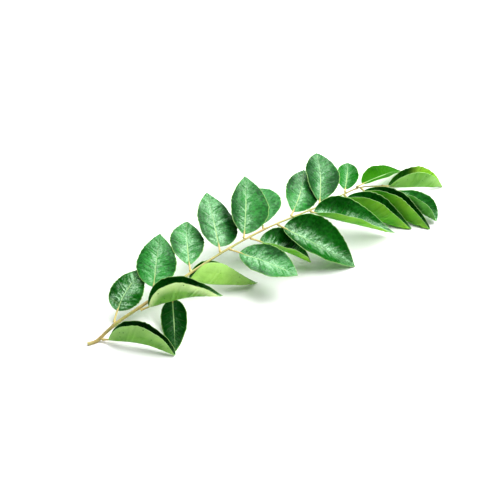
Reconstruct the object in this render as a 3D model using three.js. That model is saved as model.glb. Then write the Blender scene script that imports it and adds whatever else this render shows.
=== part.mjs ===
// A cut sprig of curry leaf (Murraya koenigii), lying on a table.
//
// One arched stalk, the rachis, carries alternate leaflets: the left row rises and faces up, the right
// row hangs to the table, several of its leaflets folded along their midribs. Millimetres, +Z up.
// The rachis runs along +X from its cut end, "left" is +Y, and the table is z = 0.

import * as THREE from 'three';

// ---- Rachis -------------------------------------------------------------------------------------

const RACHIS_BASE_RADIUS = 1;
const RACHIS_END_RADIUS = 0.4;
const RACHIS_SIDES = 8;
const RACHIS_STEPS = 56;

// The arched line of the rachis, from the cut end to the last leaflet.
const RACHIS_LINE = [
  [0, -1, 0.9], [5, -2, 1], [12, -2.9, 5.4], [21, -3.6, 9.3], [45, -6, 17], [84, -4, 22.5],
  [118, -3.5, 24.5], [154, -4, 23], [184, 0, 19], [200, 2, 15.5], [217, -0.5, 10.5],
];

// The middle of the sprig's outline on the table, which becomes the origin.
const MIDDLE_X = 129.85;
const MIDDLE_Y = -1.95;

// ---- Leaflets -----------------------------------------------------------------------------------

const BLADE_THICKNESS = 0.6;
const STALK_WIDTH = 1.0;         // a leaflet's own short stalk
const STALK_ROWS = 2;
const BLADE_ROWS = 14;
const BLADE_COLUMNS = [1, 0.55, 0.14, 0, -0.14, -0.55, -1];  // shares of the half width, left to right
const ROOT_GAP = 0.3;            // between the rachis and a leaflet's root
const FOLD_RADIUS = 0.9;         // how sharply a blade folds at its midrib
const RIPPLE_HEIGHT = 0.35;      // the wave along a blade's margins
const RIPPLE_COUNT = 3;
const MIDRIB_STEPS = 60;
const FOLD_STEPS = 20;

const MATURE = 'mature leaf';
const YOUNG = 'young leaf';

// at       distance along the rachis                 rise     slope of the root above the level, degrees
// heading  direction seen from above, degrees        droop    how much the slope falls by the tip
// turn     how much the heading turns by the tip     length   stalk and blade along the midrib
// stalk    length of the leaflet's stalk             left, right   slope of each half of the blade
// curl     how much the halves flatten at the margin  lean    how much wider the left half is, a share
// swell    how slowly the blade widens from its base  taper   how early it narrows to its tip
// close    how much steeper the left half stands by the tip, 0 where it isn't given
const LEAFLETS = [
  { name: 'leaflet_left_1', at: 18.5, heading: 44, rise: 25, droop: 8, turn: -34, length: 34.5,
    stalk: 6.5, width: 18, left: 21, right: -8, curl: 8, lean: -0.06, swell: 0.6, taper: 0.9,
    kind: MATURE },
  { name: 'leaflet_left_2', at: 43, heading: 51, rise: 20, droop: 6, turn: 0, length: 40.5,
    stalk: 5.5, width: 22, left: 12, right: -2, curl: 10, lean: -0.02, swell: 0.65, taper: 0.95,
    kind: MATURE },
  { name: 'leaflet_left_3', at: 68.5, heading: 63, rise: 11, droop: 11, turn: -8, length: 39.5,
    stalk: 4, width: 19.5, left: 23, right: 3, curl: 10, lean: 0.02, swell: 0.85, taper: 0.95,
    kind: MATURE },
  { name: 'leaflet_left_4', at: 89.5, heading: 63, rise: 12, droop: 3, turn: 3, length: 46.5,
    stalk: 3.5, width: 24.5, left: 28, right: -15, curl: 8, lean: -0.16, swell: 0.6, taper: 0.9,
    kind: MATURE },
  { name: 'leaflet_left_5', at: 106.5, heading: 48, rise: 15, droop: 4, turn: 9, length: 47.5,
    stalk: 2.5, width: 23.5, left: 34, right: 2, curl: 10, lean: -0.16, swell: 0.7, taper: 1,
    kind: MATURE },
  { name: 'leaflet_left_6', at: 120.5, heading: 59, rise: 6, droop: 16, turn: 0, length: 42,
    stalk: 3.5, width: 27, left: 12, right: 21, curl: 10, lean: 0, swell: 0.75, taper: 0.9,
    kind: MATURE },
  { name: 'leaflet_left_7', at: 141, heading: 31, rise: 8, droop: 9, turn: 19, length: 45,
    stalk: 3.5, width: 21, left: 22, right: -22, curl: 6, lean: -0.1, swell: 0.8, taper: 0.85,
    kind: MATURE },
  { name: 'leaflet_left_8', at: 163.5, heading: 44, rise: 14, droop: 9, turn: 16, length: 45.5,
    stalk: 2, width: 23, left: 39, right: 8, curl: 10, lean: -0.04, swell: 0.85, taper: 0.95,
    kind: MATURE },
  { name: 'leaflet_left_9', at: 188.5, heading: 42, rise: 11, droop: 18, turn: 4, length: 31,
    stalk: 2, width: 16, left: 32, right: 25, curl: -5, lean: -0.02, swell: 0.5, taper: 0.95,
    kind: MATURE },
  { name: 'leaflet_left_10', at: 200, heading: 8, rise: -7, droop: 22, turn: 9, length: 61,
    stalk: 5.5, width: 18, left: 28, right: 34, curl: 10, lean: 0.02, swell: 0.7, taper: 0.95,
    kind: YOUNG },
  { name: 'leaflet_right_1', at: 8, heading: -46, rise: 11, droop: 28, turn: -10, length: 41,
    stalk: 3.5, width: 26.5, left: 77, right: 99, curl: 12, lean: 0, swell: 0.7, taper: 0.8,
    close: 15, kind: YOUNG },
  { name: 'leaflet_right_2', at: 33.5, heading: -19, rise: 14, droop: 19, turn: -18, length: 45,
    stalk: 4.5, width: 28.5, left: 84, right: 92, curl: 12, lean: 0.02, swell: 0.7, taper: 1.25,
    close: 6, kind: YOUNG },
  { name: 'leaflet_right_3', at: 54, heading: -121, rise: -62, droop: -75, turn: 0, length: 38,
    stalk: 6, width: 14.5, left: 18, right: 3, curl: 8, lean: 0.04, swell: 0.5, taper: 1,
    kind: MATURE },
  { name: 'leaflet_right_4', at: 64, heading: -11, rise: -36, droop: -30, turn: -8, length: 46.5,
    stalk: 2, width: 27, left: 65, right: 110, curl: 12, lean: -0.04, swell: 0.5, taper: 1.1,
    kind: YOUNG },
  { name: 'leaflet_right_5', at: 95, heading: -57, rise: -6, droop: 4, turn: -5, length: 41,
    stalk: 5.5, width: 22, left: 23, right: 6, curl: 8, lean: 0.06, swell: 0.7, taper: 0.9,
    kind: MATURE },
  { name: 'leaflet_right_6', at: 110, heading: -32, rise: -25, droop: 11, turn: 1, length: 41.5,
    stalk: 5.5, width: 27, left: 34, right: 50, curl: 8, lean: 0.02, swell: 0.7, taper: 0.9,
    kind: MATURE },
  { name: 'leaflet_right_7', at: 130, heading: -47, rise: -26, droop: 1, turn: -5, length: 52.5,
    stalk: 3.5, width: 29.5, left: 42, right: 17, curl: 8, lean: 0.16, swell: 0.6, taper: 0.95,
    kind: MATURE },
  { name: 'leaflet_right_8', at: 154.5, heading: -34, rise: -21, droop: -3, turn: 2, length: 57,
    stalk: 2, width: 29.5, left: 48, right: 54, curl: 8, lean: 0.02, swell: 0.6, taper: 1.2,
    kind: MATURE },
  { name: 'leaflet_right_9', at: 186.5, heading: -51, rise: -45, droop: -50, turn: 0, length: 49,
    stalk: 2, width: 28.5, left: 64, right: 93, curl: 10, lean: 0.04, swell: 0.6, taper: 0.85,
    close: 10, kind: YOUNG },
  { name: 'leaflet_right_10', at: 204, heading: -65, rise: -33, droop: -34, turn: 0, length: 51,
    stalk: 2, width: 30, left: 75, right: 94, curl: 10, lean: 0.02, swell: 0.7, taper: 0.85,
    close: 16, kind: YOUNG },
  { name: 'leaflet_right_11', at: 220, heading: -73, rise: -13, droop: -2, turn: 0, length: 42.5,
    stalk: 5.5, width: 25.5, left: 31, right: 78, curl: 8, lean: 0, swell: 1.05, taper: 0.7,
    kind: MATURE },
  { name: 'leaflet_end', at: null, heading: -19, rise: -14, droop: -3, turn: 0, length: 46,
    stalk: 3.5, width: 26, left: 72, right: 101, curl: 8, lean: 0.1, swell: 0.75, taper: 0.8,
    close: 14, kind: YOUNG },
];

// ---- Materials ----------------------------------------------------------------------------------

const COLOURS = { [MATURE]: 0x2f6f2c, [YOUNG]: 0x6fa53c, rachis: 0xb3a468 };

function material(colour, roughness) {
  return new THREE.MeshStandardMaterial({ color: colour, roughness, metalness: 0 });
}

// ---- Shared geometry ----------------------------------------------------------------------------

const UP = new THREE.Vector3(0, 0, 1);
const radians = THREE.MathUtils.degToRad;
const line = new THREE.CatmullRomCurve3(RACHIS_LINE.map((p) => new THREE.Vector3(...p)),
  false, 'catmullrom', 0.5);
line.arcLengthDivisions = 800;
const LINE_LENGTH = line.getLength();

function rachisRadius(share) {
  return THREE.MathUtils.lerp(RACHIS_END_RADIUS, RACHIS_BASE_RADIUS, (1 - share) ** 2);
}

// A closed body from rings of equal size: walls between the rings and a flat fan over each end.
function loft(rings) {
  const size = rings[0].length;
  const positions = rings.flat().flatMap((p) => [p.x, p.y, p.z]);
  const faces = [];
  for (let ring = 0; ring + 1 < rings.length; ring += 1) {
    for (let i = 0; i < size; i += 1) {
      const a = ring * size + i;
      const b = ring * size + ((i + 1) % size);
      faces.push(a, b, b + size, a, b + size, a + size);
    }
  }
  return { positions, faces, size };
}

function bufferGeometry({ positions, faces }) {
  const geometry = new THREE.BufferGeometry();
  geometry.setAttribute('position', new THREE.Float32BufferAttribute(positions, 3));
  geometry.setIndex(faces);
  geometry.computeVertexNormals();
  return geometry;
}

// ---- Rachis -------------------------------------------------------------------------------------

// One ring of the rachis. Its lowest side is level, and nothing of it is below the table.
function rachisRing(share) {
  const centre = line.getPointAt(share);
  const forward = line.getTangentAt(share);
  const side = new THREE.Vector3().crossVectors(UP, forward).normalize();
  const top = new THREE.Vector3().crossVectors(forward, side);
  const radius = rachisRadius(share);
  return Array.from({ length: RACHIS_SIDES }, (_, i) => {
    const angle = (2 * Math.PI * (i + 0.5)) / RACHIS_SIDES;
    const point = centre.clone()
      .addScaledVector(side, radius * Math.cos(angle))
      .addScaledVector(top, radius * Math.sin(angle));
    point.z = Math.max(point.z, 0);
    return point;
  });
}

function rachis() {
  const rings = Array.from({ length: RACHIS_STEPS + 1 }, (_, i) => rachisRing(i / RACHIS_STEPS));
  const body = loft(rings);
  const last = RACHIS_STEPS * body.size;
  for (let i = 1; i + 1 < body.size; i += 1) {
    body.faces.push(0, i + 1, i, last, last + i, last + i + 1);
  }
  const mesh = new THREE.Mesh(bufferGeometry(body), material(COLOURS.rachis, 0.6));
  mesh.name = 'rachis';
  return mesh;
}

// ---- Leaflets -----------------------------------------------------------------------------------

function direction(heading, slope) {
  const level = Math.cos(slope);
  return new THREE.Vector3(level * Math.cos(heading), level * Math.sin(heading), Math.sin(slope));
}

// Where a leaflet's stalk starts: beside the rachis, or just past its end for the last leaflet.
function leafletRoot(leaflet, forward) {
  if (leaflet.at === null) {
    return line.getPointAt(1).addScaledVector(line.getTangentAt(1), ROOT_GAP);
  }
  const share = leaflet.at / LINE_LENGTH;
  const along = line.getTangentAt(share);
  const alongShare = forward.dot(along);
  const away = forward.clone().addScaledVector(along, -alongShare).normalize();
  const reach = rachisRadius(share) + ROOT_GAP + 0.5 * STALK_WIDTH * Math.abs(alongShare);
  return line.getPointAt(share).addScaledVector(away, reach);
}

// Points of the midrib and its direction at each, from the root to the tip.
function midrib(leaflet) {
  const heading = radians(leaflet.heading);
  const rise = radians(leaflet.rise);
  const droop = radians(leaflet.droop);
  const turn = radians(leaflet.turn);
  const point = leafletRoot(leaflet, direction(heading, rise));
  const samples = [];
  for (let i = 0; i <= MIDRIB_STEPS; i += 1) {
    const share = Math.min((i + 0.5) / MIDRIB_STEPS, 1);
    const forward = direction(heading + turn * share, rise - droop * share ** 1.2);
    samples.push({ point: point.clone(), forward });
    point.addScaledVector(forward, leaflet.length / MIDRIB_STEPS);
  }
  return samples;
}

function midribAt(samples, share) {
  const place = THREE.MathUtils.clamp(share, 0, 1) * MIDRIB_STEPS;
  const i = Math.min(Math.floor(place), MIDRIB_STEPS - 1);
  const point = samples[i].point.clone().lerp(samples[i + 1].point, place - i);
  const forward = samples[i].forward.clone().lerp(samples[i + 1].forward, place - i).normalize();
  const side = new THREE.Vector3().crossVectors(UP, forward).normalize();
  const top = new THREE.Vector3().crossVectors(forward, side);
  return { point, side, top };
}

// Half width of the blade as a share of its widest, t from its base to its tip.
function bladeOutline(t, { swell, taper }) {
  const widest = swell / (swell + taper);
  const height = widest ** swell * (1 - widest) ** taper;
  return (t ** swell * (1 - t) ** taper) / height;
}

// The place and slope on one half of the blade, at a share of its width from the midrib.
function foldedPoint(fold, curl, halfWidth, share) {
  let across = 0;
  let up = 0;
  let slope = 0;
  const step = (share * halfWidth) / FOLD_STEPS;
  for (let i = 0; i < FOLD_STEPS; i += 1) {
    const distance = (i + 0.5) * step;
    slope = fold * (1 - Math.exp(-distance / FOLD_RADIUS)) - curl * (distance / halfWidth);
    across += Math.cos(slope) * step;
    up += Math.sin(slope) * step;
  }
  return { across, up, slope };
}

// Lifts the points of a blade's two faces that would sink into the table, so that it lies flat there.
function layOnTable(points) {
  const sunk = Math.min(0, ...points.map((point) => point.z));
  points.forEach((point) => { point.z -= sunk; });
}

// One closed section of the blade: the upper points from left to right, then the lower ones back.
function bladeSection(leaflet, frame, t) {
  const half = 0.5 * leaflet.width * bladeOutline(t, leaflet);
  const upper = [];
  const lower = [];
  for (const column of BLADE_COLUMNS) {
    const hand = Math.sign(column) || 1;
    const share = Math.abs(column);
    const halfWidth = Math.max(half * (1 + hand * leaflet.lean), 0.5 * STALK_WIDTH);
    const fold = radians(hand > 0 ? leaflet.left + (leaflet.close ?? 0) * t : leaflet.right);
    const place = foldedPoint(fold, radians(leaflet.curl), halfWidth, share);
    const ripple = RIPPLE_HEIGHT * share ** 2 * Math.sin(2 * Math.PI * RIPPLE_COUNT * t + hand);
    const faces = [1, -1].map((sign) => {
      const lift = 0.5 * sign * BLADE_THICKNESS + ripple * Math.sin(Math.PI * t);
      return frame.point.clone()
        .addScaledVector(frame.side, hand * (place.across - lift * Math.sin(place.slope)))
        .addScaledVector(frame.top, place.up + lift * Math.cos(place.slope));
    });
    layOnTable(faces);
    upper.push(faces[0]);
    lower.unshift(faces[1]);
  }
  return [...upper, ...lower];
}

// One closed section of a leaflet's stalk, with as many points as a section of the blade.
function stalkSection(frame, thickness) {
  const point = (column, sign) => frame.point.clone()
    .addScaledVector(frame.side, 0.5 * STALK_WIDTH * column)
    .addScaledVector(frame.top, 0.5 * thickness * sign);
  const upper = BLADE_COLUMNS.map((column) => point(column, 1));
  const lower = BLADE_COLUMNS.map((column) => point(column, -1)).reverse();
  return [...upper, ...lower];
}

function leafletMesh(leaflet) {
  const samples = midrib(leaflet);
  const stalkShare = leaflet.stalk / leaflet.length;
  const rings = [];
  for (let i = 0; i < STALK_ROWS; i += 1) {
    rings.push(stalkSection(midribAt(samples, (stalkShare * i) / STALK_ROWS), STALK_WIDTH));
  }
  for (let i = 0; i <= BLADE_ROWS; i += 1) {
    const t = i / BLADE_ROWS;
    const frame = midribAt(samples, stalkShare + (1 - stalkShare) * t);
    rings.push(bladeSection(leaflet, frame, t));
  }
  const body = loft(rings);
  const last = (rings.length - 1) * body.size;
  const columns = BLADE_COLUMNS.length;
  for (let i = 0; i + 1 < columns; i += 1) {
    const across = body.size - 1 - i;
    body.faces.push(i, across, across - 1, i, across - 1, i + 1);
    body.faces.push(last + i, last + across - 1, last + across, last + i, last + i + 1, last + across - 1);
  }
  const mesh = new THREE.Mesh(bufferGeometry(body), material(COLOURS[leaflet.kind], 0.4));
  mesh.name = leaflet.name;
  return mesh;
}

// ---- Sprig --------------------------------------------------------------------------------------

const sprig = new THREE.Group();
sprig.position.set(-MIDDLE_X, -MIDDLE_Y, 0);
sprig.add(rachis(), ...LEAFLETS.map(leafletMesh));

export default sprig;
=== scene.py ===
"""A cut sprig of curry leaf on a white studio floor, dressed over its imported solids."""

import math
from collections import namedtuple

import bpy
import numpy as np
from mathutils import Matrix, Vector


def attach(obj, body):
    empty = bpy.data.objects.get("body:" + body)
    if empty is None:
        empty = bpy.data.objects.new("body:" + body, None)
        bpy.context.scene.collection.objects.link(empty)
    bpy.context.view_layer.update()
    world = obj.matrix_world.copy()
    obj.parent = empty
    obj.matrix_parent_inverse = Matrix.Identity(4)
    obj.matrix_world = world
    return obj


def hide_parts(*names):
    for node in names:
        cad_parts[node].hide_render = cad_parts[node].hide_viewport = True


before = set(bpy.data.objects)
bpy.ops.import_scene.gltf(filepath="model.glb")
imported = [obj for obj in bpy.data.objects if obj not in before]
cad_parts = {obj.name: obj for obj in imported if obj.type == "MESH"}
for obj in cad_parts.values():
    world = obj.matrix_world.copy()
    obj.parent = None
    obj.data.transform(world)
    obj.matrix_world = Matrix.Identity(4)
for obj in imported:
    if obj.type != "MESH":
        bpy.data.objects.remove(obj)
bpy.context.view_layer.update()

# ---- Driving dimensions, in millimetres and degrees, as in the part's source --------------------

MM = 0.001

RACHIS_BASE_RADIUS = 1.0
RACHIS_END_RADIUS = 0.4
# Points that the rachis runs through, from its cut end.
RACHIS_LINE = [
    (0, -1, 0.9), (5, -2, 1), (12, -2.9, 5.4), (21, -3.6, 9.3), (45, -6, 17), (84, -4, 22.5),
    (118, -3.5, 24.5), (154, -4, 23), (184, 0, 19), (200, 2, 15.5), (217, -0.5, 10.5),
]
# Where the origin of the shared frame lies on the axes of that line.
MIDDLE = np.array([129.85, -1.95, 0.0])

HEADING_SPAN = 0.5               # how far to either side the rachis's heading is taken from

BLADE_THICKNESS = 0.36
MARGIN_THICKNESS = 0.2
STALK_WIDTH = 1.0
ROOT_GAP = 0.3                   # between the rachis and the root of a solid's stalk
FOLD_RADIUS = 0.9                # how fast a half turns to its fold, away from the midrib
BEND = 0.55                      # how much more a half folds at its margin than by its midrib
BEND_LIMIT = math.radians(45)    # the fold above which that grows no more
RIPPLE_HEIGHT = 0.35
RIPPLE_COUNT = 3
DROOP_POWER = 1.2                # a leaflet droops later than it turns
VEIN_SLANT = 0.17                # how far a side vein runs forward, a share of the blade's length

LEAF = "leaf"
YOUNG = "young_leaf"

# A leaflet's slot in the record, the look of its upper face and the look of its underside.
Look = namedtuple("Look", "slot top under")
GLOSSY = Look(LEAF, "dark", "plain")
PAINTED_SHADE_DARK = Look(LEAF, "painted_shade_dark", "plain")
SATIN = Look(LEAF, "satin", "plain")
FROSTED = Look(LEAF, "frosted", "plain")
PAINTED_SHEEN_SATIN = Look(LEAF, "painted_sheen_satin", "plain")
PAINTED_SHADE_SATIN = Look(LEAF, "painted_shade_satin", "plain")
BRIGHT_BELOW = Look(LEAF, "dark", "fresh")
PAINTED_HIGHLIGHT_BAND = Look(LEAF, "painted_highlight_band", "fresh")
FRESH_BELOW = Look(YOUNG, "dark", "fresh")
PALE_BELOW = Look(YOUNG, "dark", "pale")
MUTED_BELOW = Look(YOUNG, "dark", "muted")
CREAM_BELOW = Look(YOUNG, "dark", "cream")
PAINTED_BACKLIT_TIP = Look(YOUNG, "painted_backlit", "muted")
FRESH = Look(YOUNG, "fresh", "fresh")

# Where a leaflet joins the rachis (None is at its end), how it heads and rises from there, how far it
# droops and turns by its tip, its length with its stalk, the stalk alone, its width, how far its left and
# right halves fold up, how far both curl back down by the margin, how much wider than the mean its left
# half is, the powers of its outline at the base and the tip, how much more its left half folds by the tip,
# and its look.
Leaflet = namedtuple(
    "Leaflet",
    "name at heading rise droop turn length stalk width left right curl lean swell taper close look")
LEAFLETS = [
    Leaflet("left_1", 18.5, 44, 25, 8, -34, 34.5, 6.5, 18, 21, -8, 8, -0.06, 0.6, 0.9, 0, GLOSSY),
    Leaflet("left_2", 43, 51, 20, 6, 0, 40.5, 5.5, 22, 12, -2, 10, -0.02, 0.65, 0.95, 0, SATIN),
    Leaflet("left_3", 68.5, 63, 11, 11, -8, 39.5, 4, 19.5, 23, 3, 10, 0.02, 0.85, 0.95, 0, FROSTED),
    Leaflet("left_4", 89.5, 63, 12, 3, 3, 46.5, 3.5, 24.5, 28, -15, 8, -0.16, 0.6, 0.9, 0, FROSTED),
    Leaflet("left_5", 106.5, 48, 15, 4, 9, 47.5, 2.5, 23.5, 34, 2, 10, -0.16, 0.7, 1, 0, SATIN),
    Leaflet("left_6", 120.5, 59, 6, 16, 0, 42, 3.5, 27, 12, 21, 10, 0, 0.75, 0.9, 0, PAINTED_SHEEN_SATIN),
    Leaflet("left_7", 141, 31, 8, 9, 19, 45, 3.5, 21, 22, -22, 6, -0.1, 0.8, 0.85, 0, SATIN),
    Leaflet("left_8", 163.5, 44, 14, 9, 16, 45.5, 2, 23, 39, 8, 10, -0.04, 0.85, 0.95, 0, SATIN),
    Leaflet("left_9", 188.5, 42, 11, 18, 4, 31, 2, 16, 32, 25, -5, -0.02, 0.5, 0.95, 0, PAINTED_SHADE_SATIN),
    Leaflet("left_10", 200, 8, -7, 22, 9, 61, 5.5, 18, 28, 34, 10, 0.02, 0.7, 0.95, 0, FRESH),
    Leaflet("right_1", 8, -46, 11, 28, -10, 41, 3.5, 26.5, 77, 99, 12, 0, 0.7, 0.8, 15, MUTED_BELOW),
    Leaflet("right_2", 33.5, -19, 14, 19, -18, 45, 4.5, 28.5, 84, 92, 12, 0.02, 0.7, 1.25, 6, CREAM_BELOW),
    Leaflet("right_3", 54, -121, -62, -75, 0, 38, 6, 14.5, 18, 3, 8, 0.04, 0.5, 1, 0, PAINTED_SHADE_DARK),
    Leaflet("right_4", 64, -11, -36, -30, -8, 46.5, 2, 27, 65, 110, 12, -0.04, 0.5, 1.1, 0, PALE_BELOW),
    Leaflet("right_5", 95, -57, -6, 4, -5, 41, 5.5, 22, 23, 6, 8, 0.06, 0.7, 0.9, 0, FROSTED),
    Leaflet("right_6", 110, -32, -25, 11, 1, 41.5, 5.5, 27, 34, 50, 8, 0.02, 0.7, 0.9, 0, BRIGHT_BELOW),
    Leaflet("right_7", 130, -47, -26, 1, -5, 52.5, 3.5, 29.5, 42, 17, 8, 0.16, 0.6, 0.95, 0, GLOSSY),
    Leaflet("right_8", 154.5, -34, -21, -3, 2, 57, 2, 29.5, 48, 54, 8, 0.02, 0.6, 1.2, 0, PAINTED_HIGHLIGHT_BAND),
    Leaflet("right_9", 186.5, -51, -45, -50, 0, 49, 2, 28.5, 64, 93, 10, 0.04, 0.6, 0.85, 10, FRESH_BELOW),
    Leaflet("right_10", 204, -65, -33, -34, 0, 51, 2, 30, 75, 94, 10, 0.02, 0.7, 0.85, 16, FRESH_BELOW),
    Leaflet("right_11", 220, -73, -13, -2, 0, 42.5, 5.5, 25.5, 31, 78, 8, 0, 1.05, 0.7, 0, GLOSSY),
    Leaflet("end", None, -19, -14, -3, 0, 46, 3.5, 26, 72, 101, 8, 0.1, 0.75, 0.8, 14, PAINTED_BACKLIT_TIP),
]

# ---- Fine form, millimetres ---------------------------------------------------------------------

VEIN_PAIRS = 11
VEIN_OFFSET = 0.45               # of the right half's side veins from the left's, in gaps between two
VEIN_UNEVEN = 0.34               # how far a side vein strays from even spacing, in the same gaps
VEIN_TWIST = 2.1                 # how differently the two halves' veins stray, in radians
VEIN_WIDTH = 0.11                # of a side vein's groove, in the same gaps
VEIN_STARTS = 400                # whole numbers that a leaflet's vein count can start from
ROWS_PER_VEIN = 14
HALF_COLUMNS = 16
COLUMN_CROWDING = 1.35           # how much closer the columns are at the midrib and the margins
LEAST_OUTLINE = 0.012            # of the blade's half width, so that its ends stay open
RIB_GROOVE = 0.2                 # depth of the midrib in the upper face
RIB_GROOVE_WIDTH = 0.45
PUCKER = 0.22                    # height of the slow uneven waves over the blade
PUCKER_WAVES = 3
SCALLOP = 0.012                  # fine scallops along the margin, a share of the half width
MIDRIB_STEPS = 240
RIB_SIDES = 12
RIB_RINGS = 150
RIB_NARROWING = 0.78             # how much thinner it gets from the stalk to the tip, as a share
RIB_OVERLAP = 0.04               # how far the rib's top lies above the blade's middle
FOOT_SWELL = 0.5                 # of a leaflet's stalk where it leaves the rachis
FOOT_REACH = 1.3
FOOT_SHARES = (0, 0.5, 0.8)      # rings inside the rachis, as shares of the way out to the root
FOOT_RADII = (1.15, 1.1, 1.05)
RACHIS_SIDES = 28
RACHIS_RINGS = 640
RACHIS_SEED = 5
KNUCKLE = 0.2                    # how much the rachis swells where a leaflet joins it
KNUCKLE_REACH = 1.8
RIDGES = ((0.035, 7, 0), (0.020, 13, 1))   # height, count and start of the rachis's ribs
SWELLING = 0.04                  # slow unevenness along the rachis
SWELLING_LENGTH = 3.1
END_SETBACK = 1.0                # how far inside the rachis's end the last leaflet's stalk starts
CAP_SHARES = (1, 0.8, 0.45, 0.02)    # rings that close an end of the rachis, shares of its radius
CAP_RISES = (0, 0.6, 1, 1)           # and how far along each of them lies, shares of the depth
CUT_HOLLOW = 0.1                 # depth of the cut face
END_DOME = 0.3                   # height of the rounded end under the last leaflet

# ---- Colours, linear ----------------------------------------------------------------------------

# The look of an upper face: its deep and lit colours, the height of the bulges between its side veins and
# the depth of those veins, its reflection level away from the midrib and beside it, its least and greatest
# roughness, how far the sheen spreads from the midrib, how long the tongues are that the sheen and the
# painted highlight throw outward, the strength of the painted sheen in the base colour, how far the
# painted highlight reaches from the midrib and its strength, and the strength of the pale side veins.
# Lengths are in millimetres.
Top = namedtuple(
    "Top", "deep lit pillow groove outer inner smooth rough spread tongue bloom wax_reach wax vein")
TOPS = {
    "dark": Top((0.0008, 0.038, 0.001), (0.0050, 0.110, 0.005),
                0.24, 0.08, 0.05, 1.2, 0.24, 0.38, 7.5, 3.5, 0.45, 8.0, 0.75, 0.2),
    # A top with a broad painted highlight beside the midrib.
    "painted_highlight_band": Top((0.0008, 0.038, 0.001), (0.0050, 0.110, 0.005),
                  0.24, 0.08, 0.04, 1.6, 0.24, 0.36, 6.5, 2.2, 0.9, 11.0, 0.95, 0.2),
    # A darker copy of the dark top, with little painted sheen: painted shade.
    "painted_shade_dark": Top((0.0006, 0.020, 0.001), (0.0018, 0.050, 0.003),
                0.24, 0.08, 0.02, 0.18, 0.24, 0.38, 6.0, 3.5, 0.1, 4.0, 0.1, 0.1),
    "satin": Top((0.0010, 0.038, 0.003), (0.0130, 0.190, 0.017),
                 0.22, 0.12, 0.06, 0.6, 0.26, 0.42, 11.0, 2.0, 0.5, 3.6, 0.6, 0.12),
    "frosted": Top((0.0010, 0.042, 0.003), (0.0130, 0.190, 0.017),
                   0.26, 0.14, 0.1, 0.9, 0.26, 0.42, 11.0, 2.8, 0.8, 4.5, 0.65, 0.12),
    # A darker copy of the satin top: painted shade.
    "painted_shade_satin": Top((0.0010, 0.045, 0.001), (0.0080, 0.160, 0.008),
                 0.22, 0.12, 0.04, 0.35, 0.26, 0.42, 9.0, 2.0, 0.3, 3.0, 0.35, 0.12),
    # A paler copy of the satin top: painted sheen over the whole blade.
    "painted_sheen_satin": Top((0.0080, 0.090, 0.012), (0.0550, 0.310, 0.065),
                 0.26, 0.14, 0.25, 0.9, 0.3, 0.45, 14.0, 2.8, 0.95, 4.5, 0.65, 0.12),
    "fresh": Top((0.0070, 0.075, 0.001), (0.0190, 0.128, 0.001),
                 0.12, 0.04, 0.01, 0.01, 0.5, 0.6, 11.0, 2.0, 0, 3.0, 0, 0.03),
    # Yellow-green towards the tip: painted backlight, as light shining through the leaf.
    "painted_backlit": Top((0.0020, 0.045, 0.001), (0.0120, 0.110, 0.002),
                0.12, 0.04, 0.2, 0.3, 0.4, 0.5, 11.0, 2.0, 0, 3.0, 0, 0.03),
}
# The look of an underside: its deep and lit colours, the colour it pales to towards its margin, how far
# it does so, the least share of that anywhere along the margin, and how broad the pale strip is.
Under = namedtuple("Under", "deep lit edge share least width")
UNDERS = {
    "plain": Under((0.050, 0.220, 0.022), (0.100, 0.350, 0.045), (0.130, 0.380, 0.060), 0.6, 0.0, 8.0),
    "fresh": Under((0.030, 0.250, 0.002), (0.090, 0.390, 0.006), (0.260, 0.520, 0.030), 0.6, 0.0, 12.0),
    "pale": Under((0.210, 0.450, 0.060), (0.330, 0.600, 0.115), (0.430, 0.690, 0.190), 0.7, 0.0, 8.0),
    "muted": Under((0.085, 0.280, 0.022), (0.160, 0.400, 0.050), (0.430, 0.680, 0.210), 0.5, 0.0, 8.0),
    "cream": Under((0.080, 0.270, 0.022), (0.170, 0.410, 0.055), (0.780, 0.940, 0.450), 1.0, 0.6, 7.5),
}
GLAND = (0.020, 0.110, 0.008)
PAINTED_BACKLIT_LIME = (0.400, 0.740, 0.050)       # painted backlight: the yellow-green outer part of that top, as light shining through the leaf
PAINTED_SHEEN_GREEN = (0.060, 0.230, 0.075)      # painted sheen: a paler green painted beside the midrib, where the top reflects the light
PAINTED_HIGHLIGHT_COLOUR = (0.270, 0.450, 0.270)        # painted highlight: the palest painted streaks, right beside the midrib
SHEEN = (0.580, 1.000, 0.590)      # the tint of a top's reflections
RIB_PALE = (0.300, 0.520, 0.180)
RIM_PALE = (0.250, 0.460, 0.120)
STRAW = (0.480, 0.390, 0.120)
STRAW_GREEN = (0.240, 0.330, 0.075)
TAN = (0.500, 0.320, 0.120)
BARK = (0.130, 0.070, 0.032)
PITH = (0.500, 0.460, 0.270)
WOOD = (0.360, 0.360, 0.130)
FLOOR_DEEP = (0.930, 0.930, 0.930)
FLOOR_LIT = (0.960, 0.960, 0.960)

# ---- Textures, waves or cells to the metre ------------------------------------------------------

TOP_BLOTCHES = 30
TOP_MOTTLE = 600
TOP_SPECKS = 1300
TOP_GLOSS = 260
TOP_CELLS = 1000
TOP_PORES = 900
UNDER_BLOTCHES = 34
UNDER_MOTTLE = 150
UNDER_EDGE_GAPS = 50
UNDER_VEIN_GAPS = 70
UNDER_GLANDS = 1250
UNDER_SCARS = 380
UNDER_SCAR_GROUPS = 120
UNDER_CELLS = 950
UNDER_GLOSS = 300
RIM_MOTTLE = 400
STALK_FLECKS = 700
STALK_GRAIN = 1800
RACHIS_STREAKS = 1500
RACHIS_TAN = 60
RACHIS_BROWNING = 160
RACHIS_PORES = 900
RACHIS_GRAIN = 2200
RACHIS_GLOSS = 300
RACHIS_STRETCH = (0.16, 1.0, 1.0)  # fewer along the rachis than across it
CUT_FIBRES = 3500
CUT_GRAIN = 4000
FLOOR_CLOUDS = 6

# ---- Depths of the relief in the materials, metres ----------------------------------------------

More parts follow.
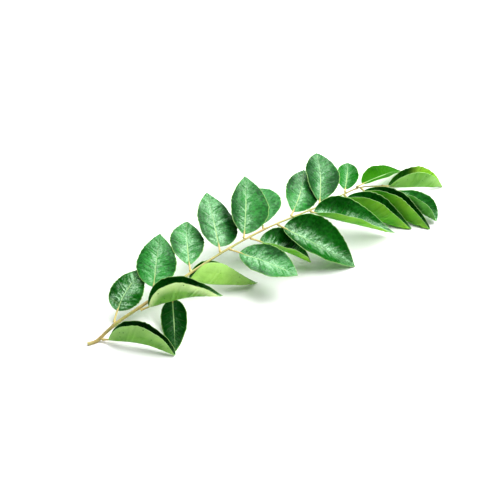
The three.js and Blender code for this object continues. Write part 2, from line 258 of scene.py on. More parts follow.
TOP_FOLD_DEPTH = 0.0009
TOP_CELL_DEPTH = 0.00012
TOP_PORE_DEPTH = 0.00022
UNDER_RIB_DEPTH = 0.0007
UNDER_CELL_DEPTH = -0.00012        # negative, as the finest veins stand out below
STALK_GRAIN_DEPTH = 0.0001
RACHIS_GRAIN_DEPTH = 0.00015
CUT_GRAIN_DEPTH = 0.0001
TOP_LIGHT_DEPTH = 0.0006           # how far light spreads inside a top, and inside an underside
UNDER_LIGHT_DEPTH = 0.0008

# ---- Studio, metres -----------------------------------------------------------------------------

CAMERA_AZIMUTH = math.radians(-37)
CAMERA_ELEVATION = math.radians(40)
CAMERA_DISTANCE = 0.45
CAMERA_AIM = Vector((-0.02105, 0.00235, 0.010))
CAMERA_NEAR = 0.01
CAMERA_LENS = 55                   # millimetres, as is the sensor
SENSOR_WIDTH = 36

Lamp = namedtuple("Lamp", "name place size power")
LAMPS = [
    Lamp("window", Vector((0.42, 0.22, 1.20)), 1.4, 32),
    Lamp("backdrop", Vector((0.95, 0.50, 0.65)), 0.9, 9),
    Lamp("fill", Vector((0.55, -0.65, 0.95)), 0.6, 11),
]
LAMP_AIM = Vector((0, 0, 0.01))
WORLD_STRENGTH = 0.18
FLOOR_HALF = 4.0


# ---- Lines --------------------------------------------------------------------------------------

def catmull_rom(points, samples=60):
    """A smooth line through the points, many samples to each span."""
    inner = np.array(points, float)
    line = np.vstack([2 * inner[0] - inner[1], inner, 2 * inner[-1] - inner[-2]])
    t = np.linspace(0, 1, samples, endpoint=False)[:, None]
    spans = []
    for p0, p1, p2, p3 in zip(line, line[1:], line[2:], line[3:]):
        spans.append(0.5 * (2 * p1 + (p2 - p0) * t + (2 * p0 - 5 * p1 + 4 * p2 - p3) * t ** 2
                            + (3 * p1 - p0 - 3 * p2 + p3) * t ** 3))
    return np.vstack([*spans, inner[-1]])


def lengths_along(points):
    """The distance of each point from the first, along the line."""
    steps = np.linalg.norm(np.diff(points, axis=0), axis=1)
    return np.concatenate([[0], np.cumsum(steps)])


def unit(vectors):
    return vectors / np.linalg.norm(vectors, axis=-1, keepdims=True)


def sample(reach, values, at):
    """Rows of values, known at the distances in reach, read at other distances."""
    return np.stack([np.interp(at, reach, values[:, k]) for k in range(values.shape[1])], axis=-1)


RACHIS_PATH = catmull_rom(RACHIS_LINE) - MIDDLE
RACHIS_REACH = lengths_along(RACHIS_PATH)
RACHIS_LENGTH = RACHIS_REACH[-1]
UP = np.array([0.0, 0.0, 1.0])


def rachis_point(distance):
    return sample(RACHIS_REACH, RACHIS_PATH, distance)


def rachis_forward(distance):
    ahead = rachis_point(np.minimum(distance + HEADING_SPAN, RACHIS_LENGTH))
    return unit(ahead - rachis_point(np.maximum(distance - HEADING_SPAN, 0)))


def rachis_radius(distance):
    share = distance / RACHIS_LENGTH
    return RACHIS_END_RADIUS + (RACHIS_BASE_RADIUS - RACHIS_END_RADIUS) * (1 - share) ** 2


# ---- Leaflet form -------------------------------------------------------------------------------

def direction(heading, slope):
    """Unit vectors from angles round the upright and up from level."""
    level = np.cos(slope)
    return np.stack([level * np.cos(heading), level * np.sin(heading), np.sin(slope)], axis=-1)


def leaflet_root(leaflet, forward):
    """Where the solid's own stalk starts, beside the rachis or just past its end."""
    if leaflet.at is None:
        return rachis_point(RACHIS_LENGTH) + ROOT_GAP * rachis_forward(RACHIS_LENGTH)
    along = rachis_forward(leaflet.at)
    along_share = forward @ along
    away = unit(forward - along_share * along)
    reach = rachis_radius(leaflet.at) + ROOT_GAP + 0.5 * STALK_WIDTH * abs(along_share)
    return rachis_point(leaflet.at) + reach * away


def midrib(leaflet):
    """Distances, points and directions along the midrib, from the leaflet's root to its tip."""
    share = (np.arange(MIDRIB_STEPS + 1) + 0.5) / MIDRIB_STEPS
    heading = np.radians(leaflet.heading + leaflet.turn * share)
    slope = np.radians(leaflet.rise - leaflet.droop * share ** DROOP_POWER)
    forward = direction(heading, slope)
    step = leaflet.length / MIDRIB_STEPS
    start = direction(math.radians(leaflet.heading), math.radians(leaflet.rise))
    moves = np.vstack([leaflet_root(leaflet, start), forward[:-1] * step])
    return np.arange(MIDRIB_STEPS + 1) * step, np.cumsum(moves, axis=0), forward


def frames_at(line, distance):
    """Point, side and top directions of the midrib at the given distances."""
    reach, points, forwards = line
    forward = unit(sample(reach, forwards, distance))
    side = unit(np.cross(UP, forward))
    return sample(reach, points, distance), side, np.cross(forward, side)


def blade_outline(t, swell, taper):
    """Half width of the blade as a share of its widest, t from its base to its tip."""
    widest = swell / (swell + taper)
    height = widest ** swell * (1 - widest) ** taper
    return t ** swell * (1 - t) ** taper / height


def fold_across(fold, curl, half_width, share, steps=24):
    """Offsets across and up, and the slope, on one half of the blade at a share of its width."""
    middle = (np.arange(steps) + 0.5) / steps * share[..., None]
    distance = middle * half_width[..., None]
    bend = BEND * np.clip(fold, -BEND_LIMIT, BEND_LIMIT)
    slope = (fold[..., None] * (1 - np.exp(-distance / FOLD_RADIUS)) - curl * middle
             + bend[..., None] * (middle - 0.5))
    step = share * half_width / steps
    end = fold * (1 - np.exp(-share * half_width / FOLD_RADIUS)) - curl * share + bend * (share - 0.5)
    return np.cos(slope).sum(-1) * step, np.sin(slope).sum(-1) * step, end


def smooth(low, high, value):
    """0 below low and 1 above high, with a soft step between them."""
    share = np.clip((value - low) / (high - low), 0, 1)
    return share * share * (3 - 2 * share)


def vein_phases(row, hand, rng):
    """A count that is whole on the side veins, which are unevenly spaced and differ from side to side."""
    phase = VEIN_PAIRS * row + VEIN_OFFSET * (hand < 0)
    for waves in (1, 2, 3, 5):
        start = rng.uniform(0, 2 * np.pi) + VEIN_TWIST * (hand < 0)
        phase = phase + VEIN_UNEVEN / waves ** 0.5 * np.sin(2 * np.pi * waves * row + start)
    return phase


def slow_waves(row, side, rng):
    """Low uneven waves over the whole blade."""
    total = np.zeros_like(row)
    for wave in range(PUCKER_WAVES):
        along, across, start = rng.uniform((0.7, 0.5, 0), (2.2, 2.0, 2 * np.pi))
        total += PUCKER / (wave + 1.5) * np.sin(2 * np.pi * along * row + start + across * np.pi * side)
    return total


def relief(leaflet, row, share, hand, phase, rng):
    """Height of the upper face's bulges, grooves and slow waves, in millimetres."""
    top = TOPS[leaflet.look.top]
    ends = smooth(0, 0.12, row) * smooth(0, 0.1, 1 - row)
    inner = smooth(0.02, 0.2, share) * (1 - 0.9 * smooth(0.35, 0.95, share))
    uneven = 0.6 + 0.4 * np.sin(phase * 1.9 + 3 * share + rng.uniform(0, 6))
    pillow = (0.5 - 0.5 * np.cos(2 * np.pi * phase)) ** 0.7 - 0.5
    vein = np.exp(-((phase - np.round(phase)) / VEIN_WIDTH) ** 2)
    height = inner * uneven * (top.pillow * pillow - top.groove * vein)
    return ends * (height + slow_waves(row, share * hand, rng))


def column_shares():
    """Shares of the half width, from 1 at the left margin to -1 at the right one."""
    even = np.linspace(0, 1, HALF_COLUMNS)
    half = even ** COLUMN_CROWDING * (1 - even) + (1 - (1 - even) ** COLUMN_CROWDING) * even
    return np.concatenate([half[::-1], -half[1:]])


def lay_on_table(upper, lower):
    """Lifts both faces together wherever the blade would sink into the table."""
    sunk = np.minimum(np.minimum(upper[..., 2], lower[..., 2]), 0)
    upper[..., 2] -= sunk
    lower[..., 2] -= sunk


def blade_faces(leaflet, line, rng):
    """Points of the upper face, the lower face and the rim, with the faces' shader values."""
    signed = column_shares()[None, :]
    row = np.linspace(0, 1, VEIN_PAIRS * ROWS_PER_VEIN + 1)[:, None]
    row, signed = np.broadcast_arrays(row, signed)
    share = np.abs(signed)
    hand = np.where(signed < 0, -1, 1)
    t = np.clip(row + VEIN_SLANT * 4 * row * (1 - row) * share ** 0.85, 0, 1)
    phase = vein_phases(row, hand, rng)
    scallops = 1 + SCALLOP * np.cos(2 * np.pi * phase) * smooth(0, 0.1, 1 - row)
    outline = np.maximum(blade_outline(t, leaflet.swell, leaflet.taper), LEAST_OUTLINE) * scallops
    half = 0.5 * leaflet.width * outline * (1 + hand * leaflet.lean)
    fold = np.radians(np.where(hand > 0, leaflet.left + leaflet.close * t, leaflet.right))
    across, up, slope = fold_across(fold, math.radians(leaflet.curl), half, share)
    point, side, top = frames_at(line, leaflet.stalk + (leaflet.length - leaflet.stalk) * t)
    outward = hand[..., None] * (np.cos(slope)[..., None] * side) + np.sin(slope)[..., None] * top
    normal = hand[..., None] * (-np.sin(slope)[..., None] * side) + np.cos(slope)[..., None] * top
    ripple = RIPPLE_HEIGHT * share ** 2 * np.sin(2 * np.pi * RIPPLE_COUNT * t + hand) * np.sin(np.pi * t)
    height = ripple + relief(leaflet, row, share, hand, phase, rng)
    base = point + (hand * across)[..., None] * side + up[..., None] * top + height[..., None] * normal
    distance = share * half
    groove = RIB_GROOVE * np.exp(-(distance / RIB_GROOVE_WIDTH) ** 2) * (1 - 0.6 * t)
    thick = MARGIN_THICKNESS + (BLADE_THICKNESS - MARGIN_THICKNESS) * (1 - share ** 3)
    upper = base + (0.5 * thick - groove)[..., None] * normal
    lower = base - (0.5 * thick)[..., None] * normal
    rim = (base + 0.6 * MARGIN_THICKNESS * outward)[:, [0, -1]]
    lay_on_table(upper, lower)
    rim[..., 2] = np.maximum(rim[..., 2], 0)
    place = np.stack([phase + rng.integers(VEIN_STARTS), distance, half - distance], axis=-1)
    return upper, lower, rim, place, np.stack([t, 0.5 + 0.5 * signed], axis=-1)


def grid_faces(rows, columns, start, flip=False):
    """Quads of a grid whose points are stored row by row from start."""
    i, j = np.meshgrid(np.arange(rows - 1), np.arange(columns - 1), indexing="ij")
    a = start + i * columns + j
    faces = np.stack([a, a + 1, a + columns + 1, a + columns], axis=-1).reshape(-1, 4)
    return faces[:, ::-1] if flip else faces


def ring_angles(sides):
    return 2 * np.pi * np.arange(sides + 1) / sides


def tube(points, side, top, radii, angle):
    """Rings of points round a line, kept above the table. Each ring's last point repeats its first."""
    ring = (np.cos(angle)[None, :, None] * side[:, None, :]
            + np.sin(angle)[None, :, None] * top[:, None, :])
    grid = points[:, None, :] + radii[..., None] * ring
    grid[..., 2] = np.maximum(grid[..., 2], 0)
    return grid


def stalk_grid(leaflet, line):
    """The leaflet's stalk, rooted in the rachis, which runs on under the blade as its rib."""
    distance = np.linspace(0, leaflet.length, RIB_RINGS)
    point, side, top = frames_at(line, distance)
    blade = np.clip((distance - leaflet.stalk) / (leaflet.length - leaflet.stalk), 0, 1)
    radius = 0.5 * STALK_WIDTH * (1 - smooth(0, 1, blade) * RIB_NARROWING)
    radius *= 1 + FOOT_SWELL * np.exp(-(distance / FOOT_REACH) ** 2)
    sink = smooth(0, 0.12, blade) * (radius - RIB_OVERLAP)
    point = point - sink[:, None] * top
    inside = rachis_point(RACHIS_LENGTH - END_SETBACK if leaflet.at is None else leaflet.at)
    foot = inside + (point[0] - inside) * np.array(FOOT_SHARES)[:, None]
    rings = len(FOOT_SHARES)
    point = np.vstack([foot, point])
    side = np.vstack([np.repeat(side[:1], rings, axis=0), side])
    top = np.vstack([np.repeat(top[:1], rings, axis=0), top])
    radius = np.concatenate([radius[0] * np.array(FOOT_RADII), radius])
    along = np.concatenate([np.zeros(rings), blade])
    radii = np.repeat(radius[:, None], RIB_SIDES + 1, axis=1)
    return tube(point, side, top, radii, ring_angles(RIB_SIDES)), along


# ---- Meshes -------------------------------------------------------------------------------------

class Shell:
    """The points of a piece with their shader values, and its quads with their material slots.

    The values of a point are its place and its spread. On a blade the place is the vein count and the
    distances from the midrib and from the margin, in millimetres. On a leaflet's stalk it starts with the
    share of the blade passed. On the rachis it is the distance from the cut end, in millimetres, and the
    share of the radius. The spread is how far along and how far across or around the point is, from 0 to 1.
    """

    def __init__(self):
        self.points, self.places, self.spreads, self.quads, self.slots = [], [], [], [], []

    def add_points(self, grid, place, spread):
        """Adds a grid of points and returns the number of its first one."""
        start = sum(len(points) for points in self.points)
        self.points.append(grid.reshape(-1, 3))
        self.places.append(place.reshape(-1, 3))
        self.spreads.append(spread.reshape(-1, 2))
        return start

    def add_quads(self, quads, slot):
        self.quads.append(quads)
        self.slots.append(np.full(len(quads), slot))

    def add_tube(self, grid, place, along, slot):
        """Adds rings whose places change from ring to ring alone, as does how far along they are."""
        rings, around = grid.shape[:2]
        place = np.repeat(place[:, None], around, axis=1)
        along = np.repeat(along[:, None], around, axis=1)
        across = np.broadcast_to(np.linspace(0, 1, around), along.shape)
        start = self.add_points(grid, place, np.stack([along, across], axis=-1))
        self.add_quads(grid_faces(rings, around, start), slot)

    def make(self, name, materials):
        """One mesh object in the shared frame, with the shader values at its points."""
        mesh = bpy.data.meshes.new(name)
        quads = np.vstack(self.quads)
        mesh.from_pydata(np.vstack(self.points) * MM, [], quads.tolist())
        for material in materials:
            mesh.materials.append(material)
        mesh.polygons.foreach_set("material_index", np.concatenate(self.slots).astype(np.int32))
        mesh.polygons.foreach_set("use_smooth", np.ones(len(quads), bool))
        place = mesh.attributes.new("place", "FLOAT_VECTOR", "POINT")
        place.data.foreach_set("vector", np.vstack(self.places).astype(np.float32).ravel())
        corners = np.empty(len(mesh.loops), np.int32)
        mesh.loops.foreach_get("vertex_index", corners)
        spread = np.vstack(self.spreads)[corners].astype(np.float32)
        mesh.uv_layers.new(name="UVMap").uv.foreach_set("vector", spread.ravel())
        mesh.update()
        piece = bpy.data.objects.new(name, mesh)
        show(piece)
        return piece


def leaflet_piece(leaflet, seed, materials):
    """One leaflet: its two faces, the rim between them, and the stalk that runs on as its rib."""
    line = midrib(leaflet)
    upper, lower, rim, place, spread = blade_faces(leaflet, line, np.random.default_rng(seed))
    rows, columns = upper.shape[:2]
    shell = Shell()
    upper_start = shell.add_points(upper, place, spread)
    lower_start = shell.add_points(lower, place, spread)
    rim_start = shell.add_points(rim, place[:, [0, -1]], spread[:, [0, -1]])
    shell.add_quads(grid_faces(rows, columns, upper_start, flip=True), 0)
    shell.add_quads(grid_faces(rows, columns, lower_start), 1)
    for edge, column in enumerate((0, columns - 1)):
        upper_edge = upper_start + np.arange(rows) * columns + column
        lower_edge = lower_start + np.arange(rows) * columns + column
        outer = rim_start + np.arange(rows) * 2 + edge
        for near, far in ((upper_edge, outer), (outer, lower_edge)):
            strip = np.stack([near[:-1], far[:-1], far[1:], near[1:]], axis=-1)
            shell.add_quads(strip if edge == 0 else strip[:, ::-1], 2)
    stalk, along = stalk_grid(leaflet, line)
    nothing = np.zeros_like(along)
    shell.add_tube(stalk, np.stack([along, nothing, nothing], axis=-1), along, 3)
    piece = shell.make(f"leaflet_{leaflet.name}_dressed", materials)
    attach(piece, "root")
    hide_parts(f"leaflet_{leaflet.name}")


def rachis_radii(distance, angle):
    """Radii of the rachis's rings, with its ribs and a knuckle where each leaflet joins."""
    radii = np.repeat(rachis_radius(distance)[:, None], len(angle), axis=1)
    for leaflet in LEAFLETS:
        if leaflet.at is not None:
            near = np.exp(-((distance - leaflet.at) / KNUCKLE_REACH) ** 2)
            facing = 0.5 + 0.5 * np.cos(angle - (0 if leaflet.name.startswith("left") else np.pi))
            radii += KNUCKLE * near[:, None] * facing
    ridges = sum(height * np.sin(count * angle + start)[None, :] for height, count, start in RIDGES)
    start = 2 * np.random.default_rng(RACHIS_SEED).uniform()
    return radii + ridges + SWELLING * np.sin(distance / SWELLING_LENGTH + start)[:, None]


def rachis_piece(materials):
    """The rachis, hollowed at its cut end and rounded at the other."""
    distance = np.linspace(0, RACHIS_LENGTH, RACHIS_RINGS)
    forward = rachis_forward(distance)
    side = unit(np.cross(UP, forward))
    angle = ring_angles(RACHIS_SIDES)
    grid = tube(rachis_point(distance), side, np.cross(forward, side), rachis_radii(distance, angle), angle)
    shell = Shell()
    whole = np.ones_like(distance)
    shell.add_tube(grid, np.stack([distance, whole, 0 * whole], axis=-1), distance / RACHIS_LENGTH, 0)
    shares, rises = np.array(CAP_SHARES), np.array(CAP_RISES)
    for end, ring, depth, slot in ((0, 0, CUT_HOLLOW, 1), (1, RACHIS_RINGS - 1, END_DOME, 0)):
        centre = grid[ring, :-1].mean(axis=0)
        cap = centre + (grid[ring] - centre) * shares[:, None, None]
        cap += rises[:, None, None] * depth * forward[ring]
        share = np.repeat(shares[:, None], len(angle), axis=1)
        place = np.stack([np.full_like(share, distance[ring]), share, share], axis=-1)
        start = shell.add_points(cap, place, np.stack([np.full_like(share, end), share], axis=-1))
        shell.add_quads(grid_faces(len(shares), len(angle), start, flip=end == 0), slot)
    piece = shell.make("rachis_dressed", materials)
    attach(piece, "root")
    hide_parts("rachis")


# ---- Materials ----------------------------------------------------------------------------------

class Nodes:
    """A material's node tree, with short calls for the nodes that the finishes are made of."""

    def __init__(self, name):
        self.material = bpy.data.materials.new(name)
        self.material.use_nodes = True
        self.tree = self.material.node_tree
        self.shader = self.tree.nodes["Principled BSDF"]
        place = self.add("ShaderNodeAttribute", attribute_name="place").outputs["Vector"]
        self.place = self.separate(place)
        self.spot = self.add("ShaderNodeTexCoord").outputs["Object"]
        spread = self.add("ShaderNodeUVMap", uv_map="UVMap").outputs["UV"]
        self.along, self.across = self.separate(spread)[:2]

    def add(self, kind, inputs=(), **settings):
        """Adds a node, with its inputs by name or number."""
        made = self.tree.nodes.new(kind)
        for key, value in settings.items():
            setattr(made, key, value)
        for key, value in dict(inputs).items():
            self.feed(made.inputs[key], value)
        return made

    def feed(self, socket, value):
        """Links a socket to another or sets its own value."""
        if isinstance(value, bpy.types.NodeSocket):
            self.tree.links.new(value, socket)
        elif isinstance(value, tuple) and socket.type == "RGBA":
            socket.default_value = (*value, 1)
        else:
            socket.default_value = value

    def separate(self, vector):
        return self.add("ShaderNodeSeparateXYZ", {"Vector": vector}).outputs

    def noise(self, scale, detail=3, distortion=0.0, vector=None):
        inputs = {"Vector": vector or self.spot, "Scale": scale, "Detail": detail, "Distortion": distortion}
        return self.add("ShaderNodeTexNoise", inputs).outputs[0]

    def cells(self, scale, feature="F1"):
        inputs = {"Vector": self.spot, "Scale": scale}
        return self.add("ShaderNodeTexVoronoi", inputs, feature=feature).outputs["Distance"]

    def ramp(self, value, low, high, start=0.0, end=1.0):
        """A soft step from start at low to end at high."""
        inputs = {"Value": value, "From Min": low, "From Max": high, "To Min": start, "To Max": end}
        made = self.add("ShaderNodeMapRange", inputs, interpolation_type="SMOOTHSTEP")
        return made.outputs["Result"]

    def maths(self, operation, a, b=0.0):
        return self.add("ShaderNodeMath", {0: a, 1: b}, operation=operation).outputs[0]

    def mix(self, factor, a, b):
        """Colour a where the factor is 0 and colour b where it is 1."""
        return self.add("ShaderNodeMix", {0: factor, 6: a, 7: b}, data_type="RGBA").outputs[2]

    def bump(self, height, strength, distance, normal=None):
        inputs = {"Height": height, "Strength": strength, "Distance": distance}
        if normal is not None:
            inputs["Normal"] = normal
        return self.add("ShaderNodeBump", inputs).outputs["Normal"]

    def set(self, **inputs):
        """Feeds the shader's own sockets."""
        for key, value in inputs.items():
            self.feed(self.shader.inputs[key.replace("_", " ")], value)


def vein_lines(nodes, width):
    """1 on a side vein and 0 away from it, from the blade's vein count."""
    fraction = nodes.maths("FRACT", nodes.maths("ADD", nodes.place[0], 0.5))
    off = nodes.maths("ABSOLUTE", nodes.maths("SUBTRACT", fraction, 0.5))
    return nodes.ramp(off, 0.0, width, 1.0, 0.0)


def wrinkles(nodes, often, long):
    """Wrinkles along the side veins: so many between two veins, and how fast they change outward."""
    forward = nodes.maths("MULTIPLY", nodes.place[0], often)
    outward = nodes.maths("MULTIPLY", nodes.place[1], long)
    half = nodes.maths("MULTIPLY", nodes.across, 3.0)
    vector = nodes.add("ShaderNodeCombineXYZ", {"X": forward, "Y": outward, "Z": half}).outputs[0]
    return nodes.noise(1.0, 3, 0.25, vector)


def midrib_line(nodes, width):
    """1 on the midrib's pale line, which narrows and fades to the tip."""
    narrowing = nodes.ramp(nodes.along, 0.0, 1.0, 1.0, 0.3)
    line = nodes.ramp(nodes.maths("DIVIDE", nodes.place[1], narrowing), 0.35 * width, width, 1.0, 0.0)
    return nodes.maths("MULTIPLY", line, nodes.ramp(nodes.along, 0.1, 1.0, 0.9, 0.25))


def specks(nodes):
    """A fine grain that breaks up the sheen."""
    return nodes.ramp(nodes.noise(TOP_SPECKS, 3), 0.36, 0.64, 0.3, 1)


def shine(nodes, spread, tongue):
    """1 beside the midrib and 0 by the margin, feathered outward along the side veins."""
    tongues = nodes.ramp(wrinkles(nodes, 1.1, 0.08), 0.3, 0.7, -tongue, tongue)
    beside = nodes.ramp(nodes.maths("SUBTRACT", nodes.place[1], tongues), -1.0, spread, 1, 0)
    crease = nodes.maths("MULTIPLY", vein_lines(nodes, 0.08), 0.5)
    return nodes.maths("MULTIPLY", beside, nodes.maths("SUBTRACT", 1.0, crease))


def painted_highlight_streaks(nodes, tongue, reach, share):
    """Painted highlight: pale streaks that run outward from the midrib, fading to the base and the tip."""
    tongues = nodes.ramp(wrinkles(nodes, 1.6, 0.12), 0.34, 0.66, -tongue, tongue)
    outward = nodes.maths("SUBTRACT", nodes.place[1], tongues)
    beside = nodes.ramp(outward, 0.1 * reach, 0.6 * reach, share, 0)
    fading = nodes.maths("MULTIPLY", nodes.ramp(nodes.along, 0.02, 0.15),
                         nodes.ramp(nodes.along, 0.5, 0.95, 1, 0.2))
    return nodes.maths("MULTIPLY", beside, fading)


def painted_crease_shade(nodes):
    """1 where painted shade darkens crease lines along some of the side veins."""
    here = nodes.ramp(wrinkles(nodes, 0.9, 0.25), 0.42, 0.62)
    return nodes.maths("MULTIPLY", vein_lines(nodes, 0.11), here)


def top_material(name):
    """The upper face: mottled, with painted sheen by the midrib, painted crease shade and pale veins."""
    top = TOPS[name]
    nodes = Nodes(f"leaf_top_{name}")
    broad = nodes.ramp(nodes.noise(TOP_BLOTCHES, 2), 0.35, 0.65, 0, 0.7)
    fine = nodes.ramp(nodes.noise(TOP_MOTTLE, 4), 0.35, 0.65, -0.1, 0.45)
    # Painted shade and sheen: lighter beside the midrib and darker towards the margin.
    outward = nodes.ramp(nodes.place[1], 1.0, 10.0, 0.25, -0.35)
    tone = nodes.maths("ADD", nodes.maths("ADD", broad, fine), outward)
    colour = nodes.mix(tone, top.deep, top.lit)
    # Painted backlight: the outer part of this top is painted yellow-green, as light shining through the
    # leaf.
    if name == "painted_backlit":
        colour = nodes.mix(nodes.ramp(nodes.along, 0.3, 0.65), colour, PAINTED_BACKLIT_LIME)
    grain = specks(nodes)
    shining = nodes.maths("MULTIPLY", shine(nodes, top.spread, top.tongue), grain)
    # Painted sheen: where the reflection level is raised, the base colour is painted paler too.
    colour = nodes.mix(nodes.maths("MULTIPLY", shining, top.bloom), colour, PAINTED_SHEEN_GREEN)
    # Painted highlight: pale streaks beside the midrib.
    wax = nodes.maths("MULTIPLY", painted_highlight_streaks(nodes, top.tongue, top.wax_reach, top.wax), grain)
    colour = nodes.mix(wax, colour, PAINTED_HIGHLIGHT_COLOUR)
    # Painted shade along crease lines on some side veins.
    colour = nodes.mix(nodes.maths("MULTIPLY", painted_crease_shade(nodes), 0.75), colour, top.deep)
    shown = nodes.ramp(nodes.place[1], 3.0, 9.0, top.vein, 0.1 * top.vein)
    colour = nodes.mix(nodes.maths("MULTIPLY", vein_lines(nodes, 0.06), shown), colour, RIB_PALE)
    colour = nodes.mix(midrib_line(nodes, 0.4), colour, RIB_PALE)
    rim = nodes.ramp(nodes.place[2], 0.1, 0.5, 0.5, 0)
    colour = nodes.mix(rim, colour, RIM_PALE)
    folds = nodes.bump(wrinkles(nodes, 1.5, 0.16), 0.8, TOP_FOLD_DEPTH)
    mesh = nodes.bump(nodes.cells(TOP_CELLS, "DISTANCE_TO_EDGE"), 0.3, TOP_CELL_DEPTH, folds)
    normal = nodes.bump(nodes.noise(TOP_PORES, 3), 0.5, TOP_PORE_DEPTH, mesh)
    roughness = nodes.ramp(nodes.noise(TOP_GLOSS, 3), 0.3, 0.7, top.smooth, top.rough)
    level = top.outer if top.outer == top.inner else nodes.ramp(shining, 0, 1, top.outer, top.inner)
    nodes.set(Base_Color=colour, Normal=normal, Roughness=roughness, Specular_IOR_Level=level,
              Specular_Tint=SHEEN, Subsurface_Weight=0.2, Subsurface_Radius=(0.5, 1.0, 0.25),
              Subsurface_Scale=TOP_LIGHT_DEPTH)
    return nodes.material


def under_material(name):
    """The underside: paler by the margin, with glands, scars, faint veins and painted shade by the veins.
    """
    under = UNDERS[name]
    nodes = Nodes(f"leaf_underside_{name}")
    broad = nodes.ramp(nodes.noise(UNDER_BLOTCHES, 2), 0.35, 0.65, 0, 0.6)
    fine = nodes.ramp(nodes.noise(UNDER_MOTTLE, 4), 0.35, 0.7, 0, 0.5)
    # Painted shade and light in bands along the side veins.
    painted_vein_shade = nodes.ramp(wrinkles(nodes, 1.0, 0.1), 0.35, 0.65, -0.3, 0.3)
    tone = nodes.maths("ADD", nodes.maths("ADD", broad, fine), painted_vein_shade)
    colour = nodes.mix(tone, under.deep, under.lit)
    paling = nodes.maths("MULTIPLY", nodes.ramp(nodes.place[2], 0.2, under.width, under.share, 0),
                         nodes.ramp(nodes.noise(UNDER_EDGE_GAPS, 3), 0.3, 0.58, under.least, 1))
    colour = nodes.mix(paling, colour, under.edge)
    glands = nodes.ramp(nodes.cells(UNDER_GLANDS), 0.1, 0.3, 0.25, 0)
    colour = nodes.mix(glands, colour, GLAND)
    scars = nodes.maths("MULTIPLY", nodes.ramp(nodes.cells(UNDER_SCARS), 0.08, 0.19, 0.8, 0),
                        nodes.ramp(nodes.noise(UNDER_SCAR_GROUPS, 2), 0.44, 0.56))
    colour = nodes.mix(scars, colour, GLAND)
    shown = nodes.ramp(nodes.noise(UNDER_VEIN_GAPS, 2), 0.4, 0.6)
    veins = nodes.maths("MULTIPLY", vein_lines(nodes, 0.07), nodes.maths("MULTIPLY", shown, 0.14))
    colour = nodes.mix(veins, colour, RIB_PALE)
    mesh = nodes.bump(nodes.cells(UNDER_CELLS, "DISTANCE_TO_EDGE"), 0.35, UNDER_CELL_DEPTH)
    ribs = nodes.bump(wrinkles(nodes, 1.0, 0.1), 0.6, UNDER_RIB_DEPTH, mesh)
    roughness = nodes.ramp(nodes.noise(UNDER_GLOSS, 3), 0.3, 0.7, 0.48, 0.62)
    nodes.set(Base_Color=colour, Normal=ribs, Roughness=roughness, Specular_IOR_Level=0.2,
              Subsurface_Weight=0.4, Subsurface_Radius=(0.6, 1.0, 0.25),
              Subsurface_Scale=UNDER_LIGHT_DEPTH)
    return nodes.material


def rim_material():
    nodes = Nodes("leaf_rim")
    colour = nodes.mix(nodes.ramp(nodes.noise(RIM_MOTTLE, 2), 0.3, 0.7), RIM_PALE, RIB_PALE)
    nodes.set(Base_Color=colour, Roughness=0.5)
    return nodes.material


def leaf_stalk_material():
    """Straw by the rachis, then green, and pale where it runs under the blade."""
    nodes = Nodes("leaf_stalk")
    along = nodes.place[0]
    colour = nodes.mix(nodes.ramp(along, 0.0, 0.08), STRAW, STRAW_GREEN)
    colour = nodes.mix(nodes.ramp(along, 0.05, 0.4), colour, RIB_PALE)
    flecks = nodes.ramp(nodes.noise(STALK_FLECKS, 3), 0.55, 0.75, 0, 0.3)
    colour = nodes.mix(flecks, colour, BARK)
    grain = nodes.bump(nodes.noise(STALK_GRAIN, 3), 0.4, STALK_GRAIN_DEPTH)
    nodes.set(Base_Color=colour, Normal=grain, Roughness=0.5)
    return nodes.material


def rachis_material():
    """Straw and green streaks, browner by the cut end."""
    nodes = Nodes("rachis_skin")
    stretching = {"Vector": nodes.spot, "Scale": RACHIS_STRETCH}
    stretched = nodes.add("ShaderNodeMapping", stretching).outputs[0]
    streaks = nodes.ramp(nodes.noise(RACHIS_STREAKS, 3, vector=stretched), 0.35, 0.7)
    colour = nodes.mix(streaks, STRAW, STRAW_GREEN)
    colour = nodes.mix(nodes.ramp(nodes.noise(RACHIS_TAN, 3), 0.4, 0.65, 0, 0.6), colour, TAN)
    browning = nodes.maths("MULTIPLY", nodes.ramp(nodes.place[0], 4.0, 60.0, 0.4, 0.05),
                           nodes.ramp(nodes.noise(RACHIS_BROWNING, 4), 0.3, 0.65))
    colour = nodes.mix(browning, colour, BARK)
    pores = nodes.ramp(nodes.cells(RACHIS_PORES), 0.1, 0.24, 0.55, 0)
    colour = nodes.mix(pores, colour, BARK)
    ribbed = nodes.bump(nodes.noise(RACHIS_GRAIN, 3, vector=stretched), 0.5, RACHIS_GRAIN_DEPTH)
    roughness = nodes.ramp(nodes.noise(RACHIS_GLOSS, 3), 0.3, 0.7, 0.42, 0.6)
    nodes.set(Base_Color=colour, Normal=ribbed, Roughness=roughness)
    return nodes.material


def cut_material():
    """The cut face: pale pith, wood round it and bark outermost."""
    nodes = Nodes("rachis_cut")
    colour = nodes.mix(nodes.ramp(nodes.place[1], 0.3, 0.55), PITH, WOOD)
    colour = nodes.mix(nodes.ramp(nodes.place[1], 0.72, 0.95), colour, BARK)
    fibres = nodes.ramp(nodes.noise(CUT_FIBRES, 3), 0.4, 0.7, 0, 0.5)
    colour = nodes.mix(fibres, colour, BARK)
    grain = nodes.bump(nodes.noise(CUT_GRAIN, 2), 0.6, CUT_GRAIN_DEPTH)
    nodes.set(Base_Color=colour, Normal=grain, Roughness=0.8)
    return nodes.material


# ---- Floor, camera and light --------------------------------------------------------------------

def show(thing):
    bpy.context.scene.collection.objects.link(thing)


def aim(thing, place, forward):
    """Puts a camera or lamp somewhere and turns it to look forward."""
    thing.location = place
    thing.rotation_mode = "QUATERNION"
    thing.rotation_quaternion = forward.to_track_quat("-Z", "Y")


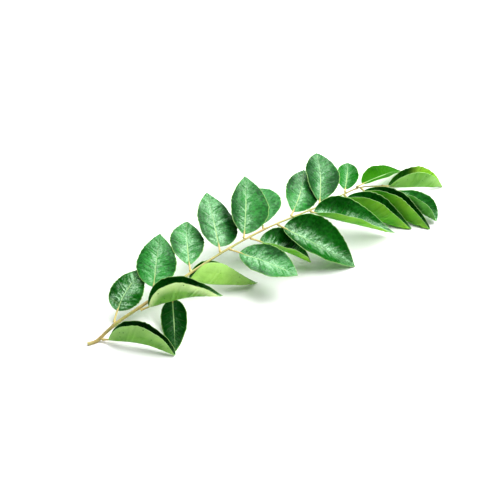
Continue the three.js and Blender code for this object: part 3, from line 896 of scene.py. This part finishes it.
def add_camera():
    back = Vector((math.sin(CAMERA_AZIMUTH) * math.cos(CAMERA_ELEVATION),
                   -math.cos(CAMERA_AZIMUTH) * math.cos(CAMERA_ELEVATION),
                   math.sin(CAMERA_ELEVATION)))
    camera = bpy.data.objects.new("Camera", bpy.data.cameras.new("Camera"))
    camera.data.lens = CAMERA_LENS
    camera.data.sensor_width = SENSOR_WIDTH
    camera.data.clip_start = CAMERA_NEAR
    aim(camera, CAMERA_AIM + back * CAMERA_DISTANCE, -back)
    show(camera)
    bpy.context.scene.camera = camera


def add_lamp(lamp):
    light = bpy.data.lights.new(lamp.name, "AREA")
    light.shape = "DISK"
    light.size = lamp.size
    light.energy = lamp.power
    holder = bpy.data.objects.new(lamp.name, light)
    aim(holder, lamp.place, LAMP_AIM - lamp.place)
    show(holder)


def add_floor():
    mesh = bpy.data.meshes.new("floor")
    corners = [(FLOOR_HALF * x, FLOOR_HALF * y, 0) for x, y in ((-1, -1), (1, -1), (1, 1), (-1, 1))]
    mesh.from_pydata(corners, [], [(0, 1, 2, 3)])
    nodes = Nodes("floor_white")
    paper = nodes.mix(nodes.ramp(nodes.noise(FLOOR_CLOUDS, 2), 0.3, 0.7), FLOOR_DEEP, FLOOR_LIT)
    nodes.set(Base_Color=paper, Roughness=0.9, Specular_IOR_Level=0.1)
    mesh.materials.append(nodes.material)
    floor = bpy.data.objects.new("floor", mesh)
    show(floor)


def light_studio():
    scene = bpy.context.scene
    scene.world = bpy.data.worlds.new("studio")
    scene.world.use_nodes = True
    background = scene.world.node_tree.nodes["Background"]
    background.inputs["Color"].default_value = (1, 1, 1, 1)
    background.inputs["Strength"].default_value = WORLD_STRENGTH
    scene.view_settings.view_transform = "Standard"
    for lamp in LAMPS:
        add_lamp(lamp)


def main():
    tops = {name: top_material(name) for name in TOPS}
    unders = {name: under_material(name) for name in UNDERS}
    rim = rim_material()
    stalk = leaf_stalk_material()
    for seed, leaflet in enumerate(LEAFLETS):
        look = leaflet.look
        leaflet_piece(leaflet, seed, [tops[look.top], unders[look.under], rim, stalk])
    rachis_piece([rachis_material(), cut_material()])
    add_floor()
    add_camera()
    light_studio()


main()
